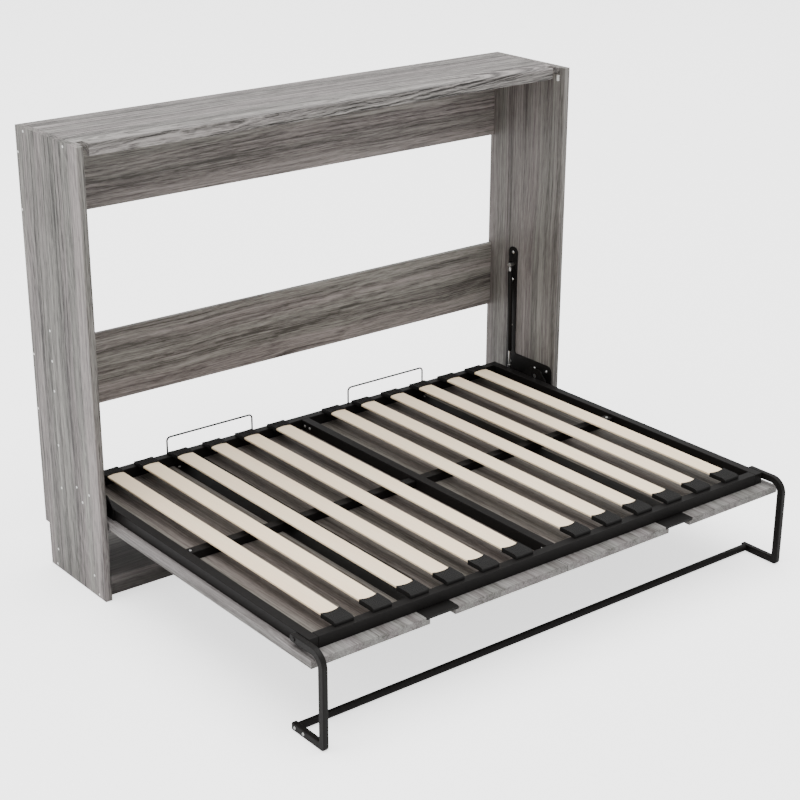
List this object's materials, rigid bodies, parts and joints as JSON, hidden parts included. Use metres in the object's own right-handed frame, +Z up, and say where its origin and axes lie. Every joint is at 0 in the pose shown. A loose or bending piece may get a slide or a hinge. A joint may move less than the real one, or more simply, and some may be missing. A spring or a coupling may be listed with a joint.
{
  "type": "horizontal wall bed",
  "caption": "Horizontal wall bed: a shallow wood-grain cabinet with a steel bed frame, slats and front boards that fold down onto a hinged foot frame, held by gas struts.",
  "frame": {"origin": "on the floor, at the centre of the whole object's plan with the bed open; the cabinet's front plane is at Y=0.395", "axes": "+X along the cabinet's length, to the right seen from the front; +Y towards the wall; +Z up"},
  "size_m": [2.045, 1.596, 1.55],
  "materials": {
    "oak_laminate": "matt grey-brown wood-grain laminate",
    "dark_board": "matt, in deep shade",
    "face_board": "matt grey wood-grain laminate",
    "black_metal": "satin black powder coat",
    "black_board": "satin black laminate",
    "birch": "clear satin varnish",
    "bright_steel": "zinc plated",
    "white_plastic": "matt white"
  },
  "bodies": {
    "bed": {"back_bed_rail": "black_metal", "centre_bed_beam": "black_metal", "front_bed_rail": "black_metal", "left_bed_bracket": "black_metal", "left_bed_rail": "black_metal", "left_foot_pivot_bolt": "black_metal", "left_inner_face_board": "face_board", "left_joining_plank": "black_board", "left_mattress_wire": "black_metal", "left_mid_rail": "black_metal", "left_outer_face_board": "face_board", "left_slat_1": "birch", "left_slat_2": "birch", "left_slat_3": "birch", "left_slat_4": "birch", "left_slat_5": "birch", "left_slat_6": "birch", "left_strut_foot_stud": "bright_steel", "right_bed_bracket": "black_metal", "right_bed_rail": "black_metal", "right_foot_pivot_bolt": "black_metal", "right_inner_face_board": "face_board", "right_joining_plank": "black_board", "right_mattress_wire": "black_metal", "right_mid_rail": "black_metal", "right_outer_face_board": "face_board", "right_slat_1": "birch", "right_slat_2": "birch", "right_slat_3": "birch", "right_slat_4": "birch", "right_slat_5": "birch", "right_slat_6": "birch", "right_strut_foot_stud": "bright_steel"},
    "cabinet": {"bottom_shelf": "dark_board", "front_kick_board": "oak_laminate", "left_hinge_plate": "black_metal", "left_pivot_pin": "bright_steel", "left_side_panel": "oak_laminate", "left_stop_corner": "white_plastic", "left_strut_top_stud": "bright_steel", "middle_back_rail": "oak_laminate", "rear_kick_board": "oak_laminate", "right_hinge_plate": "black_metal", "right_pivot_pin": "bright_steel", "right_side_panel": "oak_laminate", "right_stop_corner": "white_plastic", "right_strut_top_stud": "bright_steel", "top_front_strip": "oak_laminate", "top_panel": "oak_laminate", "upper_back_rail": "oak_laminate"},
    "foot_frame": {"foot_cross_bar": "black_metal", "left_foot_leg": "black_metal", "right_foot_leg": "black_metal"},
    "left_strut_cylinder_body": {"left_strut_cylinder": "black_metal"},
    "left_strut_rod_body": {"left_strut_rod": "bright_steel"},
    "right_strut_cylinder_body": {"right_strut_cylinder": "black_metal"},
    "right_strut_rod_body": {"right_strut_rod": "bright_steel"}
  },
  "joints": [
    {"name": "bed_fold", "type": "hinge", "parent": "cabinet", "child": "bed", "pos_m": [0, 0.46825, 0.33025], "axis": [-1, 0, 0], "range_deg": [0, 90]},
    {"name": "foot_fold", "type": "hinge", "parent": "bed", "child": "foot_frame", "pos_m": [0, -0.655, 0.3095], "axis": [-1, 0, 0], "range_deg": [0, 180]},
    {"name": "left_strut_swing", "type": "hinge", "parent": "cabinet", "child": "left_strut_cylinder_body", "pos_m": [-0.978, 0.643, 0.742], "axis": [-1, 0, 0], "range_deg": [0, 17.82]},
    {"name": "left_strut_stroke", "type": "slide", "parent": "left_strut_cylinder_body", "child": "left_strut_rod_body", "axis": [0, -0.0273, -0.9996], "range_m": [0, 0.1699]},
    {"name": "right_strut_swing", "type": "hinge", "parent": "cabinet", "child": "right_strut_cylinder_body", "pos_m": [0.978, 0.643, 0.742], "axis": [-1, 0, 0], "range_deg": [0, 17.82]},
    {"name": "right_strut_stroke", "type": "slide", "parent": "right_strut_cylinder_body", "child": "right_strut_rod_body", "axis": [0, -0.0273, -0.9996], "range_m": [0, 0.1699]}
  ],
  "couplings": [
    {"joint": "left_strut_swing", "follows": "bed_fold", "ratio": 0.19785},
    {"joint": "left_strut_stroke", "follows": "bed_fold", "m_per_rad": 0.10811},
    {"joint": "right_strut_swing", "follows": "bed_fold", "ratio": 0.19785},
    {"joint": "right_strut_stroke", "follows": "bed_fold", "m_per_rad": 0.10811}
  ]
}
